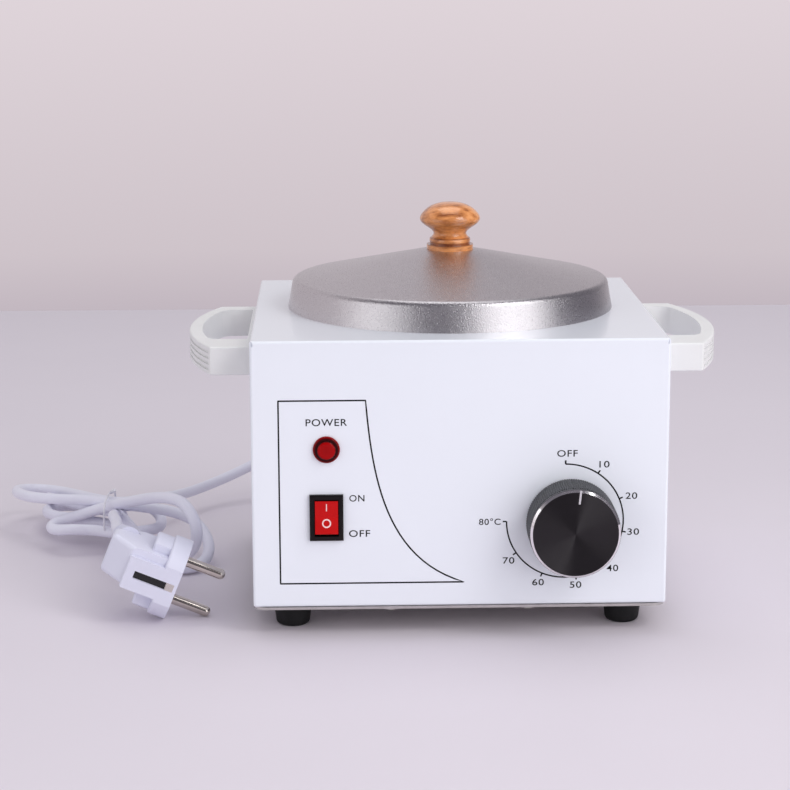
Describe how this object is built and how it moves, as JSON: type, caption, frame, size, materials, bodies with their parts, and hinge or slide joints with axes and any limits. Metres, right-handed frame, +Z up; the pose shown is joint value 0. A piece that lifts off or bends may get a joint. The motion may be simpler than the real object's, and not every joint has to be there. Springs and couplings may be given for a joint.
{
  "type": "single wax warmer",
  "caption": "Box-shaped wax warmer with a lift-out round pot, spun metal lid with turned wood knob, thermostat dial, rocker switch, pilot lamp, side handles and a tied mains lead.",
  "frame": {"origin": "on the standing surface, at the centre of the footprint of the warmer with its dial and its mains inlet, without the free mains lead", "axes": "+X to the right as seen from the front, +Y from the front panel to the back, +Z up"},
  "size_m": [0.355, 0.2649, 0.1833],
  "materials": {
    "white_enamel": "gloss",
    "zinc_steel": "satin",
    "black_rubber": "matte",
    "white_plastic": "gloss",
    "spun_aluminium": "satin",
    "bright_aluminium": "polished",
    "stainless_steel": "satin",
    "glass_wool": "matte",
    "copper_brass": "satin",
    "nickel_plate": "polished",
    "black_plastic": "matte",
    "black_anodised": "satin",
    "red_plastic": "gloss",
    "red_lens": "gloss",
    "clear_glass": "gloss",
    "turned_wood": "varnished",
    "cord_pvc": "satin",
    "plug_pvc": "satin",
    "tie_plastic": "satin",
    "natural_nylon": "matte",
    "brown_wire": "satin",
    "blue_wire": "satin",
    "green_wire": "satin"
  },
  "bodies": {
    "housing": {"band_heater": "stainless_steel", "base_plate": "white_enamel", "base_screws": "zinc_steel", "bracket_screws": "zinc_steel", "capillary_tube": "copper_brass", "cord_boot": "cord_pvc", "cord_clamp": "natural_nylon", "cord_hank": "cord_pvc", "cord_tail": "cord_pvc", "cord_tie": "tie_plastic", "core_wires": "brown_wire", "earth_screw": "zinc_steel", "earth_wire": "green_wire", "foot_front_left": "black_rubber", "foot_front_right": "black_rubber", "foot_nuts": "zinc_steel", "foot_rear_left": "black_rubber", "foot_rear_right": "black_rubber", "foot_screws": "zinc_steel", "handle_screws": "zinc_steel", "heater_clamp_screw": "zinc_steel", "heater_wires": "brown_wire", "heating_well": "spun_aluminium", "housing_shell": "white_enamel", "insulation_sleeve": "glass_wool", "lamp_holder": "black_plastic", "lamp_lens": "red_lens", "lamp_nut": "natural_nylon", "lamp_wires": "blue_wire", "left_handle": "white_plastic", "live_wire": "brown_wire", "mains_cord": "cord_pvc", "neon_lamp": "clear_glass", "neutral_wire": "blue_wire", "plug_body": "plug_pvc", "plug_earth_contacts": "nickel_plate", "plug_lead": "cord_pvc", "plug_pins": "nickel_plate", "plug_strain_relief": "plug_pvc", "right_handle": "white_plastic", "rocker_housing": "black_plastic", "rocker_terminals": "copper_brass", "sensor_bulb": "copper_brass", "switched_wire": "brown_wire", "terminal_block": "natural_nylon", "thermal_fuse": "white_plastic", "thermostat_body": "stainless_steel", "thermostat_screws": "zinc_steel", "tie_bolt": "zinc_steel", "wall_clips": "stainless_steel", "well_boss": "spun_aluminium"},
    "dial": {"thermostat_spindle": "stainless_steel", "dial_knob": "black_plastic", "dial_cap": "black_anodised"},
    "rocker": {"rocker_key": "red_plastic"},
    "wax_pot": {"wax_pot": "spun_aluminium"},
    "lid": {"lid_shell": "bright_aluminium", "lid_knob": "turned_wood", "lid_knob_screw": "zinc_steel", "lid_knob_washer": "zinc_steel"}
  },
  "joints": [
    {"name": "dial_turn", "type": "hinge", "parent": "housing", "child": "dial", "pos_m": [0.0493, -0.0865, 0.0514], "axis": [0, 1, 0], "range_deg": [-6, 264]},
    {"name": "rocker_tilt", "type": "hinge", "parent": "housing", "child": "rocker", "pos_m": [-0.0594, -0.08624, 0.0547], "axis": [1, 0, 0], "range_deg": [0, 20]},
    {"name": "pot_lift", "type": "slide", "parent": "housing", "child": "wax_pot", "axis": [0, 0, 1], "range_m": [0, 0.1]},
    {"name": "lid_lift", "type": "slide", "parent": "wax_pot", "child": "lid", "axis": [0, 0, 1], "range_m": [0, 0.06]}
  ]
}
